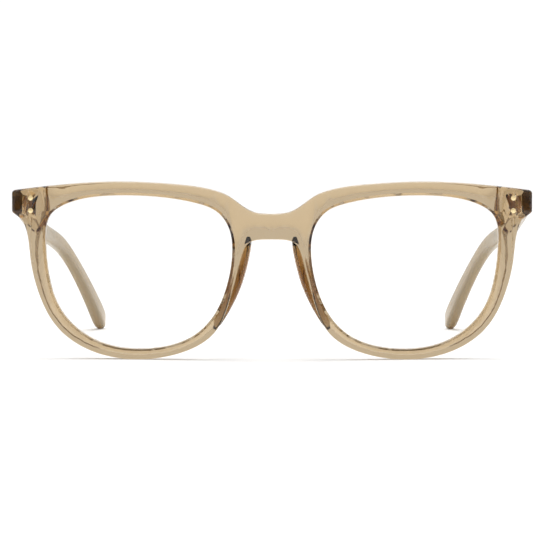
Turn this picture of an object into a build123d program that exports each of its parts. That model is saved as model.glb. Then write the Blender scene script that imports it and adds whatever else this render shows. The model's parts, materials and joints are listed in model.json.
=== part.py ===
from build123d import *

import os
from math import atan2, degrees, hypot, radians, sin, sqrt

# Rimmed acetate eyeglasses with riveted five-knuckle hinges, plano lenses and wire-cored temples.
#
# Millimetres. X runs across the frame with the wearer's left side at +X, Y runs from the bridge back
# towards the ears, and Z is up from the surface that the rims and the temple tips stand on.
# The origin is on that surface, under the middle of the overall box.

# Driving dimensions
OVERALL_DEPTH = 141.75  # bridge front to the back of the temple tips
FRONT_Y = -OVERALL_DEPTH / 2  # where the bridge's front surface lies
WRAP_RADIUS = 280.0  # the front is bent round an upright axis behind the head
FRONT_THICKNESS = 4.0
EDGE_ROUND = 0.7  # polished outer edges of the front
RIM_ROUND = 0.35  # edges of the lens openings
HINGE_PAD_THICKNESS = 1.1  # how far the end pieces stand proud of the rims at the back
CLEARANCE = 0.05  # between fixed pieces that fit into each other

# Outlines of the front, half of it, as (across, up). The top runs from the bridge to the end piece,
# the side runs from the end piece round the rim and the nose to the underside of the bridge.
BRIDGE_TOP = 39.6
BRIDGE_UNDERSIDE = 32.65
END_PIECE_X = 71.0
END_PIECE_TOP = 45.75
END_PIECE_FOOT = (68.2, 37.8)
END_PIECE_CORNER = 39.85
END_CORNER_RADIUS = 1.0
END_FOOT_RADIUS = 2.5  # where the end piece's underside runs into the rim
TOP_LINE = [
    (0, BRIDGE_TOP),
    (2.2, 39.66),
    (4.6, 40.05),
    (7.9, 41.75),
    (11.6, 44.4),
    (17.0, 46.35),
    (28, 47.75),
    (41, 48.28),
    (55, 47.6),
    (END_PIECE_X, END_PIECE_TOP),
]
SIDE_LINE = [
    END_PIECE_FOOT,
    (66.8, 34.0),
    (65.9, 27.0),
    (63.8, 18.2),
    (58.8, 8.8),
    (48.5, 1.9),
    (36.2, 0),
    (24.5, 1.85),
    (15.6, 7.2),
    (12.3, 13.2),
    (10.4, 19.5),
    (9.1, 24.4),
    (7.9, 28.9),
    (6.4, 31.5),
    (3.9, 32.5),
    (1.9, 32.63),
    (0, BRIDGE_UNDERSIDE),
]
OPENING = [
    (61.7, 31.5),
    (60.85, 22.8),
    (57.8, 13.8),
    (51.3, 7.0),
    (44, 3.75),
    (36, 2.85),
    (28, 3.75),
    (20.8, 6.8),
    (15.4, 12.5),
    (12.15, 20.1),
    (10.7, 28.5),
    (11.5, 35.5),
    (14.6, 40.0),
    (20.5, 42.5),
    (30, 44.1),
    (40, 44.55),
    (49, 44.0),
    (56, 42.15),
    (60.5, 38.9),
]

# Lenses
LENS_CURVE = 180.0  # front radius, a base-three curve
LENS_THICKNESS = 1.8
LENS_BEVEL = 0.7  # how far the lens's tongue stands into the rim
LENS_SHOULDER = 0.5  # how far each face of the tongue is inside the face of the lens
LENS_CENTRE = (36.2, 23.7)
LENS_SET_BACK = 0.15  # the lens vertex behind the front surface at the lens centre

# Nose pads, as level elliptical slices: height, across at the front and at the rear of the slice,
# how far behind the bridge's front it starts and ends, and half its thickness
PAD_SLICES = [
    (33.6, 6.3, 6.6, 2.4, 5.2, 0.5),
    (31.0, 6.4, 7.2, 1.6, 7.8, 1.2),
    (27.0, 7.2, 8.8, 1.4, 9.8, 1.6),
    (22.0, 8.5, 10.3, 1.3, 10.6, 1.7),
    (17.0, 10.3, 12.2, 1.3, 10.2, 1.6),
    (12.0, 12.8, 14.4, 1.5, 8.6, 1.3),
    (8.4, 15.0, 15.9, 2.2, 6.0, 0.6),
]
GLUE_LINE = 0.04

# Hinges, on an upright pin: the sizes are those of a small five-knuckle eyewear hinge
HINGE_X = 65.85
HINGE_SETBACK = 14.6  # the pin behind the bridge's front surface
HINGE_Z = 42.0
KNUCKLE_RADIUS = 1.4
KNUCKLE_BORE = 0.70
KNUCKLE_HEIGHT = 0.88
KNUCKLE_GAP = 0.03
KNUCKLES = 5
HINGE_HEIGHT = KNUCKLES * KNUCKLE_HEIGHT + (KNUCKLES - 1) * KNUCKLE_GAP
LEAF_BACK = HINGE_SETBACK - KNUCKLE_RADIUS - 0.1  # the front leaf's rear face
LEAF_THICKNESS = 0.8
LEAF_EDGES = (63.6, 67.8)
SCREW_RADIUS = 0.66
SCREW_HEAD_RADIUS = 1.05
SCREW_HEAD_HEIGHT = 0.42
SCREW_SLOT = 0.34
RIVET_RADIUS = 0.68
RIVET_CLEARANCE = 0.02
RIVET_SPACING = 3.4
RIVET_X = 65.8
RIVET_START = 7.63  # their heads stand just proud of the front, behind the bridge's front by this
RIVET_END = LEAF_BACK - 0.25  # and their shanks stop inside the leaf

# Temples
TEMPLE_LEAF_X = 67.4  # medial face of the hinge leaf let into the temple
TEMPLE_LEAF_THICKNESS = 0.9
TEMPLE_LEAF_FRONT = HINGE_SETBACK - 0.4
TEMPLE_LEAF_LENGTH = 8.6
TEMPLE_RIVETS = (17.4, 20.9)  # behind the bridge's front
TEMPLE_RIVET_HEAD = 70.93  # flush with the temple's outer face
BUTT_GAP = 0.08  # between the closed butt joint's faces
TEMPLE_SLOPE = radians(8.7)
# Along the temple: across, behind the bridge's front, up, thickness and height of the section
TEMPLE_STATIONS = [
    (69.4, 10.0, 42.6, 3.1, 6.3),
    (69.4, 24.0, 40.9, 3.1, 5.9),
    (69.2, 48.0, 37.2, 3.0, 5.4),
    (68.2, 72.0, 33.2, 3.0, 5.0),
    (66.0, 90.0, 30.1, 3.0, 4.9),
    (63.4, 103.0, 26.6, 3.0, 5.0),
    (60.8, 112.5, 21.4, 3.0, 5.2),
    (58.1, 122.0, 14.8, 3.2, 5.8),
    (55.7, 131.0, 8.1, 3.5, 6.4),
    (54.7, 135.6, 4.95, 3.6, 6.6),
    (54.1, 138.6, 3.1, 3.4, 6.2),
    (53.75, 140.4, 2.1, 2.7, 4.8),
    (53.6, 141.2, 1.65, 1.5, 2.8),
]
SECTION_SPACING = 9.0  # how far apart the lofted sections are, at most about
SECTION_ROUND = 0.42  # corner radius of a section, as a share of its thickness
WIRE_THICKNESS = 1.1
WIRE_HEIGHT = 2.2
WIRE_CLEARANCE = 0.06
WIRE_FIRST, WIRE_LAST = 1, 4  # the stations that the core wire runs between


def front_depth(x, radius=WRAP_RADIUS):
    """How far behind the bridge's front a surface of the wrapped front lies, at x across."""
    return WRAP_RADIUS - sqrt(radius**2 - x**2)


def on_front(points):
    """(across, up) pairs as points on the plane of the bridge's front."""
    return [Vector(x, FRONT_Y, z) for x, z in points]


def both_sides(left):
    """A wearer's left piece and its mirror image for the right."""
    return {"left": left, "right": mirror(left, Plane.YZ)}


def wrap_shell(outer, inner):
    """The space between two upright cylinders round the front's wrap axis."""
    axis = Pos(0, FRONT_Y + WRAP_RADIUS, 25)
    return axis * (Cylinder(outer, 80) - Cylinder(inner, 80))


def through(face, start=-2.0, end=20.0):
    """A face on the front plane pushed through the whole front."""
    return extrude(Pos(0, start, 0) * face, amount=end - start, dir=(0, 1, 0))


def half_outline():
    """The wearer's left half of the front's outline, closed down the middle of the bridge."""
    top = Spline(on_front(TOP_LINE))
    side = Spline(on_front(SIDE_LINE))
    corner = Vector(END_PIECE_X, FRONT_Y, END_PIECE_CORNER)
    end = Line(top @ 1, corner)
    under = Line(corner, side @ 0)
    middle = Line(side @ 1, top @ 0)
    face = Face(Wire([top, end, under, side, middle]))
    corners = [v for v in face.vertices() if abs(v.X - END_PIECE_X) < 0.01]
    face = face.fillet_2d(END_CORNER_RADIUS, corners)
    foot = [v for v in face.vertices() if abs(v.X - END_PIECE_FOOT[0]) < 0.01 and v.Z < END_PIECE_CORNER]
    return face.fillet_2d(END_FOOT_RADIUS, foot)


def opening_face(grow=0.0):
    """The wearer's left lens opening, or the same outline with each of its points moved out."""
    rim = Spline(on_front(OPENING), periodic=True)
    if grow:
        moved = []
        for point in on_front(OPENING):
            along = rim.tangent_at(rim.param_at_point(point))
            moved.append(point + along.cross(Vector(0, 1, 0)) * grow)
        rim = Spline(moved, periodic=True)
    return Face(Wire([rim]))


def meniscus(front_inset, back_inset):
    """The space between the lens's two spherical faces, each moved in by its inset."""
    x, z = LENS_CENTRE
    y = FRONT_Y + front_depth(x) + LENS_SET_BACK
    face_form = degrees(atan2(x, sqrt(WRAP_RADIUS**2 - x**2)))
    outer = Sphere(LENS_CURVE - front_inset)
    inner = Sphere(LENS_CURVE - LENS_THICKNESS + back_inset)
    return Pos(x, y, z) * (Rot(0, 0, face_form) * (Pos(0, LENS_CURVE, 0) * (outer - inner)))


def lens_edge(slack=0.0):
    """The tongue round a lens that springs into the rim, or with slack the rim's groove."""
    slab = through(opening_face(LENS_BEVEL + slack), start=-1.0, end=13.0)
    return slab & meniscus(LENS_SHOULDER - slack, LENS_SHOULDER - slack)


def lens():
    """A plano meniscus that fills the opening, with a thinner tongue all round."""
    body = through(opening_face(-CLEARANCE), start=-1.0, end=13.0) & meniscus(0, 0)
    return body + lens_edge()


def end_pad(face):
    """The thicker part of the left end piece, with sloping sides and a V-shaped foot."""
    back = WRAP_RADIUS - FRONT_THICKNESS
    corners = [(60.4, 50), (60.4, 38.5), (63.8, 32.2), (67.5, 35.2), (75, 35.2), (75, 50)]
    base = Face(Wire.make_polygon(on_front(corners)))
    start = front_depth(60.4, back) - 0.2
    block = extrude(Pos(0, start, 0) * base, amount=4, dir=(0, 1, 0), taper=40)
    shell = wrap_shell(back + 1, back - HINGE_PAD_THICKNESS)
    return through(face) & shell & block


def knuckle_levels(leaf):
    """The bottom of each knuckle of the front leaf (0, 2, 4) or of the temple leaf (1, 3)."""
    first = 0 if leaf == "front" else 1
    bottom = HINGE_Z - HINGE_HEIGHT / 2
    pitch = KNUCKLE_HEIGHT + KNUCKLE_GAP
    return [bottom + i * pitch for i in range(first, KNUCKLES, 2)]


def box_between(low, high):
    """A box from its lowest to its highest corner, with y measured behind the bridge's front."""
    size = [b - a for a, b in zip(low, high)]
    middle = [(a + b) / 2 for a, b in zip(low, high)]
    return Pos(middle[0], FRONT_Y + middle[1], middle[2]) * Box(*size)


def pin_at(radius, bottom, height):
    """An upright cylinder on the left hinge's axis."""
    return Pos(HINGE_X, FRONT_Y + HINGE_SETBACK, bottom + height / 2) * Cylinder(radius, height)


def front_rivets(start, end, radius):
    """Two pins through the end piece, one above the other, between two depths."""
    pins = []
    for up in (-1, 1):
        place = Pos(RIVET_X, FRONT_Y + (start + end) / 2, HINGE_Z + up * RIVET_SPACING / 2)
        pins.append(place * (Rot(90, 0, 0) * Cylinder(radius, end - start)))
    return pins


def temple_rivets(low_x, high_x, radius):
    """Two pins through the temple, one behind the other, between two distances across."""
    pins = []
    for depth in TEMPLE_RIVETS:
        z = HINGE_Z - 0.15 - (depth - HINGE_SETBACK) * sin(TEMPLE_SLOPE)
        place = Pos((low_x + high_x) / 2, FRONT_Y + depth, z)
        pins.append(place * (Rot(0, 90, 0) * Cylinder(radius, high_x - low_x)))
    return pins


def hinge_seat():
    """The flat pocket in the end piece that takes the front leaf and clears the knuckles."""
    floor = LEAF_BACK - LEAF_THICKNESS - 0.02
    half = HINGE_HEIGHT / 2 + 0.08
    low = (LEAF_EDGES[0] - 0.08, floor, HINGE_Z - half)
    return box_between(low, (LEAF_EDGES[1] + 0.08, HINGE_SETBACK + 3, HINGE_Z + half))


def front_leaf():
    """The plate riveted to the front, with three knuckles."""
    low = (LEAF_EDGES[0], LEAF_BACK - LEAF_THICKNESS, HINGE_Z - HINGE_HEIGHT / 2)
    leaf = box_between(low, (LEAF_EDGES[1], LEAF_BACK, HINGE_Z + HINGE_HEIGHT / 2))
    for level in knuckle_levels("front"):
        neck_low = (HINGE_X - KNUCKLE_RADIUS, LEAF_BACK - 0.1, level)
        neck_high = (HINGE_X + KNUCKLE_RADIUS * 0.8, HINGE_SETBACK, level + KNUCKLE_HEIGHT)
        leaf += box_between(neck_low, neck_high)
        leaf += pin_at(KNUCKLE_RADIUS, level, KNUCKLE_HEIGHT)
    leaf -= pin_at(KNUCKLE_BORE, HINGE_Z - 4, 8)
    head_seat = knuckle_levels("front")[-1] + KNUCKLE_HEIGHT - SCREW_HEAD_HEIGHT
    leaf -= pin_at(SCREW_HEAD_RADIUS + 0.03, head_seat - 0.02, 2)
    for bore in front_rivets(0, RIVET_END + 0.02, RIVET_RADIUS + RIVET_CLEARANCE):
        leaf -= bore
    return leaf


def screw():
    """A slotted hinge screw, its head sunk into the top knuckle."""
    top = knuckle_levels("front")[-1] + KNUCKLE_HEIGHT
    bottom = knuckle_levels("front")[0]
    head = pin_at(SCREW_HEAD_RADIUS, top - SCREW_HEAD_HEIGHT, SCREW_HEAD_HEIGHT)
    shank = pin_at(SCREW_RADIUS, bottom + 0.15, top - bottom - 0.3)
    slot_low = (HINGE_X - 2, HINGE_SETBACK - SCREW_SLOT / 2, top - 0.25)
    slot = box_between(slot_low, (HINGE_X + 2, HINGE_SETBACK + SCREW_SLOT / 2, top + 1))
    return head + shank - slot


def temple_plate(slack=0.0):
    """The temple leaf's plate, or with slack the pocket that it is let into."""
    rear = TEMPLE_LEAF_FRONT + TEMPLE_LEAF_LENGTH
    fall = TEMPLE_LEAF_LENGTH * sin(TEMPLE_SLOPE)
    half = HINGE_HEIGHT / 2 - 0.05 + slack
    outline = [
        (TEMPLE_LEAF_FRONT - slack, HINGE_Z + half),
        (TEMPLE_LEAF_FRONT - slack, HINGE_Z - half),
        (rear + slack, HINGE_Z - fall - half * 0.8),
        (rear + slack, HINGE_Z - fall + half * 0.8),
    ]
    corners = [Vector(TEMPLE_LEAF_X - slack, FRONT_Y + y, z) for y, z in outline]
    face = Face(Wire.make_polygon(corners))
    return extrude(face, amount=TEMPLE_LEAF_THICKNESS + 2 * slack, dir=(1, 0, 0))


def temple_leaf():
    """The plate let into the temple, with two knuckles between those of the front."""
    leaf = temple_plate()
    for level in knuckle_levels("temple"):
        neck_low = (HINGE_X, HINGE_SETBACK - KNUCKLE_RADIUS * 0.25, level)
        neck_high = (TEMPLE_LEAF_X + 0.1, HINGE_SETBACK + KNUCKLE_RADIUS, level + KNUCKLE_HEIGHT)
        leaf += box_between(neck_low, neck_high)
        leaf += pin_at(KNUCKLE_RADIUS, level, KNUCKLE_HEIGHT)
    leaf -= pin_at(KNUCKLE_BORE, HINGE_Z - 4, 8)
    for bore in temple_rivets(60, 80, RIVET_RADIUS + RIVET_CLEARANCE):
        leaf -= bore
    return leaf


def temple_sections(thickness=None, height=None, first=0, last=len(TEMPLE_STATIONS) - 1):
    """Rounded sections square to the temple's line, which bends down and in behind the ear."""
    line = Spline([Vector(x, FRONT_Y + y, z) for x, y, z, _, _ in TEMPLE_STATIONS])
    stops = []
    for x, y, z, thick, tall in TEMPLE_STATIONS[first : last + 1]:
        stops.append((line.param_at_point(Vector(x, FRONT_Y + y, z)), thick, tall))
    cuts = []
    for here, there in zip(stops, stops[1:]):
        steps = max(1, round((there[0] - here[0]) * line.length / SECTION_SPACING))
        for step in range(steps):
            cuts.append([a + (b - a) * step / steps for a, b in zip(here, there)])
    cuts.append(stops[-1])
    sections = []
    for place, thick, tall in cuts:
        along = line.tangent_at(place)
        level = hypot(along.Y, along.Z)
        upright = Vector(0, -along.Z / level, along.Y / level)
        plane = Plane(origin=line.position_at(place), x_dir=upright.cross(along), z_dir=along)
        t, w = thickness or thick, height or tall
        sections.append(plane * RectangleRounded(t, w, t * SECTION_ROUND))
    return sections


def core_wire(slack=0.0):
    """The flat wire inside the temple, or with slack the cavity that it sits in."""
    size = (WIRE_THICKNESS + 2 * slack, WIRE_HEIGHT + 2 * slack)
    return loft(temple_sections(*size, first=WIRE_FIRST, last=WIRE_LAST))


def temple():
    """The acetate temple, cut to butt against the end piece, with leaf pocket and wire cavity."""
    butt = WRAP_RADIUS - FRONT_THICKNESS - HINGE_PAD_THICKNESS - BUTT_GAP
    body = loft(temple_sections())
    body &= Pos(0, FRONT_Y + WRAP_RADIUS, 25) * Cylinder(butt, 80)
    body -= temple_plate(CLEARANCE)
    body -= core_wire(WIRE_CLEARANCE)
    for bore in temple_rivets(60, 80, RIVET_RADIUS + RIVET_CLEARANCE):
        body -= bore
    return body


def nose_pad(front):
    """A glued-on pad, lofted through level slices and cut to the rim that it sits on."""
    slices = []
    for z, front_x, rear_x, front_y, rear_y, half_thickness in PAD_SLICES:
        place = Pos((front_x + rear_x) / 2, FRONT_Y + (front_y + rear_y) / 2, z)
        splay = degrees(atan2(rear_x - front_x, rear_y - front_y))
        half_length = hypot(rear_x - front_x, rear_y - front_y) / 2
        slices.append(place * (Rot(0, 0, -splay) * Ellipse(half_thickness, half_length)))
    pad = loft(slices) - front
    pad = max(pad.solids(), key=lambda solid: solid.volume)
    return Pos(-GLUE_LINE, GLUE_LINE, 0) * pad


def half_front():
    """The wearer's left half of the front, with its lens groove, hinge seat and rivet bores."""
    face = half_outline()
    opening = through(opening_face())
    half = through(face) & wrap_shell(WRAP_RADIUS, WRAP_RADIUS - FRONT_THICKNESS)
    broad = half.faces().filter_by(GeomType.CYLINDER).filter_by(lambda f: f.area > 1000)
    half = half.fillet(EDGE_ROUND, [e for e in broad.edges() if abs(e.center().X) > 0.1])
    half -= opening
    half = half.fillet(RIM_ROUND, [e for e in half.edges() if e.is_closed])
    half += end_pad(face) - opening
    half -= lens_edge(CLEARANCE)
    half -= hinge_seat()
    for bore in front_rivets(0, RIVET_END + 0.02, RIVET_RADIUS + RIVET_CLEARANCE):
        half -= bore
    return half


def main():
    half = half_front()
    export_step(half + mirror(half, Plane.YZ), "parts/front_frame.step")
    left_pieces = {
        "lens": lens(),
        "nose_pad": nose_pad(half),
        "front_hinge_leaf": front_leaf(),
        "temple_hinge_leaf": temple_leaf(),
        "hinge_screw": screw(),
        "front_rivets": Compound(front_rivets(RIVET_START, RIVET_END, RIVET_RADIUS)),
        "temple_rivets": Compound(temple_rivets(TEMPLE_LEAF_X + 0.05, TEMPLE_RIVET_HEAD, RIVET_RADIUS)),
        "temple": temple(),
        "core_wire": core_wire(),
    }
    for name, piece in left_pieces.items():
        for side, shape in both_sides(piece).items():
            export_step(shape, f"parts/{side}_{name}.step")


os.makedirs("parts", exist_ok=True)
main()
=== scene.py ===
import json
import math

import bpy
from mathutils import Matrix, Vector

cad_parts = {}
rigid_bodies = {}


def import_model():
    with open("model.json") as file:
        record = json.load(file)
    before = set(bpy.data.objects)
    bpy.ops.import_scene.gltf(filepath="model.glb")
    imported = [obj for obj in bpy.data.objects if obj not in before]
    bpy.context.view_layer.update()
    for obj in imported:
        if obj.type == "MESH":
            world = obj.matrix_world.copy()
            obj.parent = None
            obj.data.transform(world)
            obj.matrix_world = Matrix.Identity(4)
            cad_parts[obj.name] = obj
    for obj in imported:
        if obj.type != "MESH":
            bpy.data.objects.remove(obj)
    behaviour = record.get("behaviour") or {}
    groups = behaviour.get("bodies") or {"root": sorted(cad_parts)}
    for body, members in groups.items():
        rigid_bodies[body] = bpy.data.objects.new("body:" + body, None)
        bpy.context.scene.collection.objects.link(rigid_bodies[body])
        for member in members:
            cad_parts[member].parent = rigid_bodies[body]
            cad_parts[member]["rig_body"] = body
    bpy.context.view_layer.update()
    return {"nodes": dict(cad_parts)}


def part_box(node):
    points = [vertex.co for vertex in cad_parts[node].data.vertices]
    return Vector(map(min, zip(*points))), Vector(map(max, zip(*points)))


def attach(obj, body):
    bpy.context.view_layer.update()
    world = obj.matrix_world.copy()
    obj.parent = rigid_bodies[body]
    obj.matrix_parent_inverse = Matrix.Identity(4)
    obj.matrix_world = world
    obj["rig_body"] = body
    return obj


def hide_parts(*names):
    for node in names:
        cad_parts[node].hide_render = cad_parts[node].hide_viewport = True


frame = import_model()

# Acetate eyeglasses with clear lenses, gold rivets and folding temples, on a white table.

MM = 0.001
SIDES = ("right", "left")

# Camera: where it stands from the middle of the front's foot, in millimetres
CAMERA_DISTANCE = 1000.0
CAMERA_HEIGHT = 70.0
CAMERA_ACROSS = 8.0
FIELD_WIDTH = 146.4  # how much of the front's plane the picture takes in
FRONT_CENTRE_SHIFT = (-0.3, 24.3)  # the point of the front's plane in the middle of the picture
SENSOR = 36.0

# Acetate
ACETATE_IOR = 1.49
ACETATE_CLARITY = 0.82  # how much light the clear stock passes before its colour takes any
ACETATE_DENSITY = 320.0
PAD_DENSITY = 430.0  # the pads are cut from a deeper and clearer sheet
PAD_CLARITY = 0.97
ACETATE_TINT = (0.62, 0.42, 0.06)
POLISHED_ROUGHNESS = 0.03
TUMBLED_ROUGHNESS = 0.24
HAZE_COLOUR = (0.56, 0.435, 0.235)  # what the temples' unpolished surface scatters back
HAZE_CLARITY = 0.55

# Lens coating
COAT_COLOUR = (0.62, 0.66, 1.0)
COAT_IOR = 1.22
LENS_TINT = (0.995, 0.995, 0.99)

# Studio. Each band is a pair of heights along one axis of a direction, from -1 to 1.
TABLE_WHITE = 0.88
FRONT_TO_BACK = (-0.6, 0.5)
FRONT_STRENGTH, BACK_STRENGTH = 0.45, 1.05
OVERHEAD = (0.35, 0.8)
OVERHEAD_STRENGTH = 0.6
WARM_SIDE = (-0.55, -0.05)
WARM_FOOT = (0.1, 0.4)
WARM_LIGHT = (1.0, 0.72, 0.42, 1)
WHITE_LIGHT = (1, 1, 1, 1)
LAMP_PLACE = (0, 0.1, 0.9)
LAMP_SIZE = 0.6
LAMP_WATTS = 3.0


def remove_selection():
    """Leaves nothing selected and nothing active in edit mode."""
    if bpy.context.object and bpy.context.object.mode != "OBJECT":
        bpy.ops.object.mode_set(mode="OBJECT")
    bpy.ops.object.select_all(action="DESELECT")


def activate(piece):
    remove_selection()
    piece.select_set(True)
    bpy.context.view_layer.objects.active = piece


def modify(piece, kind, **settings):
    """Adds one modifier, sets it and applies it."""
    activate(piece)
    modifier = piece.modifiers.new(kind.title(), kind)
    for name, value in settings.items():
        setattr(modifier, name, value)
    bpy.ops.object.modifier_apply(modifier=modifier.name)


def merged_copy(node, name):
    """A copy of a CAD node's shape as one connected skin, to be finished as the real piece is."""
    piece = frame["nodes"][node].copy()
    piece.data = piece.data.copy()
    piece.name = piece.data.name = name
    piece.parent = None
    for key in list(piece.keys()):
        del piece[key]
    bpy.context.scene.collection.objects.link(piece)
    activate(piece)
    piece.data.materials.clear()
    bpy.ops.object.mode_set(mode="EDIT")
    bpy.ops.mesh.select_all(action="SELECT")
    bpy.ops.mesh.remove_doubles(threshold=0.002 * MM)
    bpy.ops.object.mode_set(mode="OBJECT")
    return piece


def take_over(piece, node, material):
    """Puts a finished piece in a CAD node's place, on the same body."""
    piece.data.materials.append(material)
    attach(piece, frame["nodes"][node]["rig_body"])
    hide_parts(node)


# Materials


def new_material(name):
    material = bpy.data.materials.new(name)
    material.use_nodes = True
    return material, material.node_tree.nodes, material.node_tree.links


def acetate_stock(name, roughness, density=ACETATE_DENSITY, clarity=ACETATE_CLARITY):
    """See-through honey acetate: clear at its thin edges and deeper where light goes further."""
    material, nodes, links = new_material(name)
    shader = nodes["Principled BSDF"]
    shader.inputs["Base Color"].default_value = (clarity, clarity, clarity, 1)
    shader.inputs["Roughness"].default_value = roughness
    shader.inputs["IOR"].default_value = ACETATE_IOR
    shader.inputs["Transmission Weight"].default_value = 1.0
    volume = nodes.new("ShaderNodeVolumeAbsorption")
    volume.inputs["Color"].default_value = (*ACETATE_TINT, 1)
    volume.inputs["Density"].default_value = density
    links.new(volume.outputs[0], nodes["Material Output"].inputs["Volume"])
    return material, nodes, links


def polished_acetate(name, density, clarity):
    """Acetate with a mirror polish that is a little softer in places, as a buffing wheel leaves it."""
    material, nodes, links = acetate_stock(name, POLISHED_ROUGHNESS, density, clarity)
    place = nodes.new("ShaderNodeTexCoord")
    clouds = nodes.new("ShaderNodeTexNoise")
    clouds.inputs["Scale"].default_value = 90.0
    clouds.inputs["Detail"].default_value = 2.0
    spread = nodes.new("ShaderNodeMapRange")
    spread.inputs["To Min"].default_value = POLISHED_ROUGHNESS * 0.6
    spread.inputs["To Max"].default_value = POLISHED_ROUGHNESS * 2.0
    links.new(place.outputs["Object"], clouds.inputs["Vector"])
    links.new(clouds.outputs[0], spread.inputs["Value"])
    links.new(spread.outputs[0], nodes["Principled BSDF"].inputs["Roughness"])
    return material


def temple_acetate():
    """The same acetate, tumbled rather than polished, so that its surface blurs what is behind."""
    material, nodes, links = acetate_stock("tumbled_acetate", TUMBLED_ROUGHNESS)
    shader = nodes["Principled BSDF"]
    shader.inputs["Base Color"].default_value = (*HAZE_COLOUR, 1)
    shader.inputs["Transmission Weight"].default_value = HAZE_CLARITY
    place = nodes.new("ShaderNodeTexCoord")
    clouds = nodes.new("ShaderNodeTexNoise")
    clouds.inputs["Scale"].default_value = 420.0
    clouds.inputs["Detail"].default_value = 3.0
    bump = nodes.new("ShaderNodeBump")
    bump.inputs["Strength"].default_value = 0.25
    bump.inputs["Distance"].default_value = 0.2 * MM
    links.new(place.outputs["Object"], clouds.inputs["Vector"])
    links.new(clouds.outputs[0], bump.inputs["Height"])
    links.new(bump.outputs[0], shader.inputs["Normal"])
    return material


def lens_polymer():
    """Clear polymer with a faint blue-violet reflection on its coated outer faces only."""
    material, nodes, links = new_material("coated_lens")
    nodes.remove(nodes["Principled BSDF"])
    clear = nodes.new("ShaderNodeBsdfTransparent")
    clear.inputs["Color"].default_value = (*LENS_TINT, 1)
    coat = nodes.new("ShaderNodeBsdfGlossy")
    coat.inputs["Color"].default_value = (*COAT_COLOUR, 1)
    coat.inputs["Roughness"].default_value = 0.02
    fresnel = nodes.new("ShaderNodeFresnel")
    fresnel.inputs["IOR"].default_value = COAT_IOR
    side = nodes.new("ShaderNodeNewGeometry")
    outside = nodes.new("ShaderNodeMath")
    outside.operation = "SUBTRACT"
    outside.inputs[0].default_value = 1.0
    links.new(side.outputs["Backfacing"], outside.inputs[1])
    share = nodes.new("ShaderNodeMath")
    share.operation = "MULTIPLY"
    links.new(fresnel.outputs[0], share.inputs[0])
    links.new(outside.outputs[0], share.inputs[1])
    mix = nodes.new("ShaderNodeMixShader")
    links.new(share.outputs[0], mix.inputs[0])
    links.new(clear.outputs[0], mix.inputs[1])
    links.new(coat.outputs[0], mix.inputs[2])
    links.new(mix.outputs[0], nodes["Material Output"].inputs["Surface"])
    return material


def metal(name, color, roughness, grain):
    """A metal with fine uneven polish: grain is the scale of its marks per metre."""
    material, nodes, links = new_material(name)
    shader = nodes["Principled BSDF"]
    shader.inputs["Base Color"].default_value = (*color, 1)
    shader.inputs["Metallic"].default_value = 1.0
    place = nodes.new("ShaderNodeTexCoord")
    marks = nodes.new("ShaderNodeTexNoise")
    marks.inputs["Scale"].default_value = grain
    marks.inputs["Detail"].default_value = 4.0
    spread = nodes.new("ShaderNodeMapRange")
    spread.inputs["To Min"].default_value = roughness * 0.7
    spread.inputs["To Max"].default_value = roughness * 1.4
    links.new(place.outputs["Object"], marks.inputs["Vector"])
    links.new(marks.outputs[0], spread.inputs["Value"])
    links.new(spread.outputs[0], shader.inputs["Roughness"])
    bump = nodes.new("ShaderNodeBump")
    bump.inputs["Strength"].default_value = 0.15
    bump.inputs["Distance"].default_value = 0.02 * MM
    links.new(marks.outputs[0], bump.inputs["Height"])
    links.new(bump.outputs[0], shader.inputs["Normal"])
    return material


def white_table():
    material, nodes, _ = new_material("white_table")
    shader = nodes["Principled BSDF"]
    shader.inputs["Base Color"].default_value = (TABLE_WHITE, TABLE_WHITE, TABLE_WHITE, 1)
    shader.inputs["Roughness"].default_value = 0.6
    shader.inputs["Specular IOR Level"].default_value = 0.0
    return material


# Pieces


def polished(node, name, voxel, smoothing):
    """A piece tumbled smooth, so that every edge is softly rounded."""
    piece = merged_copy(node, name)
    modify(piece, "REMESH", mode="VOXEL", voxel_size=voxel * MM, use_smooth_shade=True)
    modify(piece, "SMOOTH", factor=0.5, iterations=smoothing)
    return piece


def finished(node, name, edge):
    """A piece with a fine bevel on its sharp edges, or with none where edge is nought."""
    piece = merged_copy(node, name)
    if edge:
        corner = math.radians(40)
        modify(piece, "BEVEL", width=edge * MM, segments=2, limit_method="ANGLE", angle_limit=corner)
    activate(piece)
    bpy.ops.object.shade_smooth_by_angle(angle=math.radians(35))
    return piece


def make_object():
    honey = polished_acetate("polished_acetate", ACETATE_DENSITY, ACETATE_CLARITY)
    deep_honey = polished_acetate("pad_acetate", PAD_DENSITY, PAD_CLARITY)
    temple_stock = temple_acetate()
    lens = lens_polymer()
    gold = metal("polished_gold_plate", (1.0, 0.84, 0.5), 0.4, 900.0)
    hinge = metal("satin_hinge_plate", (0.86, 0.6, 0.3), 0.4, 1400.0)
    steel = metal("screw_steel", (0.6, 0.58, 0.54), 0.28, 1400.0)
    core = metal("core_wire_metal", (0.80, 0.72, 0.58), 0.3, 700.0)
    front = finished("front_frame", "polished_front", 0)
    take_over(front, "front_frame", honey)
    for side in SIDES:
        pad = polished(f"{side}_nose_pad", f"{side}_polished_pad", 0.25, 4)
        take_over(pad, f"{side}_nose_pad", deep_honey)
        blank = polished(f"{side}_lens", f"{side}_coated_lens", 0.3, 3)
        take_over(blank, f"{side}_lens", lens)
        for node, material, slot, edge in (
            ("temple", temple_stock, "acetate", 0),
            ("core_wire", core, "core_metal", 0),
            ("front_hinge_leaf", hinge, "hinge_metal", 0.06),
            ("temple_hinge_leaf", hinge, "hinge_metal", 0.06),
            ("hinge_screw", steel, "screw_steel", 0.04),
            ("front_rivets", gold, "rivet_metal", 0.08),
            ("temple_rivets", gold, "rivet_metal", 0.08),
        ):
            piece = finished(f"{side}_{node}", f"{side}_finished_{node}", edge)
            take_over(piece, f"{side}_{node}", material)


# Studio


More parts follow.
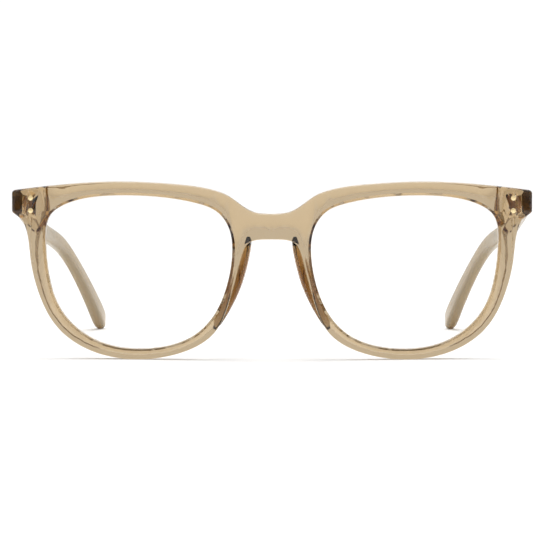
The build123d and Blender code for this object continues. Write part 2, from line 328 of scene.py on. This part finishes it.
def make_floor():
    remove_selection()
    bpy.ops.mesh.primitive_plane_add(size=8.0, location=(0, 0, 0))
    floor = bpy.context.object
    floor.name = "table"
    floor.data.materials.append(white_table())


def area_light(name, place, aim, size, power):
    lamp = bpy.data.lights.new(name, "AREA")
    lamp.size = size
    lamp.energy = power
    holder = bpy.data.objects.new(name, lamp)
    holder.location = place
    holder.rotation_euler = (Vector(aim) - Vector(place)).to_track_quat("-Z", "Y").to_euler()
    holder.visible_transmission = False
    bpy.context.scene.collection.objects.link(holder)


def sky_band(nodes, links, direction, low, high, darkest, brightest):
    """A soft change of brightness from one height of a direction's axis to another."""
    band = nodes.new("ShaderNodeMapRange")
    band.interpolation_type = "SMOOTHSTEP"
    for name, value in zip(("From Min", "From Max", "To Min", "To Max"), (low, high, darkest, brightest)):
        band.inputs[name].default_value = value
    links.new(direction, band.inputs["Value"])
    return band.outputs[0]


def make_light():
    """A white studio: bright overhead and behind the glasses, dimmer and warmer on the side they face."""
    world = bpy.data.worlds.new("studio")
    world.use_nodes = True
    nodes, links = world.node_tree.nodes, world.node_tree.links
    place = nodes.new("ShaderNodeTexCoord")
    split = nodes.new("ShaderNodeSeparateXYZ")
    links.new(place.outputs["Generated"], split.inputs["Vector"])
    behind = sky_band(nodes, links, split.outputs["Y"], *FRONT_TO_BACK, FRONT_STRENGTH, BACK_STRENGTH)
    above = sky_band(nodes, links, split.outputs["Z"], *OVERHEAD, 0.0, OVERHEAD_STRENGTH)
    total = nodes.new("ShaderNodeMath")
    links.new(behind, total.inputs[0])
    links.new(above, total.inputs[1])
    links.new(total.outputs[0], nodes["Background"].inputs["Strength"])
    warmth = nodes.new("ShaderNodeMix")
    warmth.data_type = "RGBA"
    warmth.inputs["A"].default_value = WARM_LIGHT
    warmth.inputs["B"].default_value = WHITE_LIGHT
    whiter = nodes.new("ShaderNodeMath")
    whiter.operation = "MAXIMUM"
    links.new(sky_band(nodes, links, split.outputs["Y"], *WARM_SIDE, 0.0, 1.0), whiter.inputs[0])
    links.new(sky_band(nodes, links, split.outputs["Z"], *WARM_FOOT, 0.0, 1.0), whiter.inputs[1])
    links.new(whiter.outputs[0], warmth.inputs["Factor"])
    links.new(warmth.outputs["Result"], nodes["Background"].inputs["Color"])
    bpy.context.scene.world = world
    area_light("overhead", LAMP_PLACE, (0, 0, 0.02), LAMP_SIZE, LAMP_WATTS)


def make_camera():
    front = frame_front()
    eye = Vector((CAMERA_ACROSS * MM, front - CAMERA_DISTANCE * MM, CAMERA_HEIGHT * MM))
    across, up = FRONT_CENTRE_SHIFT
    aim = Vector((across * MM, front, up * MM))
    camera = bpy.data.cameras.new("camera")
    camera.sensor_width = SENSOR
    camera.lens = SENSOR * (aim - eye).length / (FIELD_WIDTH * MM)
    camera.clip_start = 0.05
    holder = bpy.data.objects.new("camera", camera)
    holder.location = eye
    holder.rotation_euler = (aim - eye).to_track_quat("-Z", "Y").to_euler()
    bpy.context.scene.collection.objects.link(holder)
    bpy.context.scene.camera = holder


def frame_front():
    """How far forward the bridge's front surface stands."""
    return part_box("front_frame")[0][1]


make_object()
make_floor()
make_light()
make_camera()
bpy.context.scene.view_settings.view_transform = "Standard"
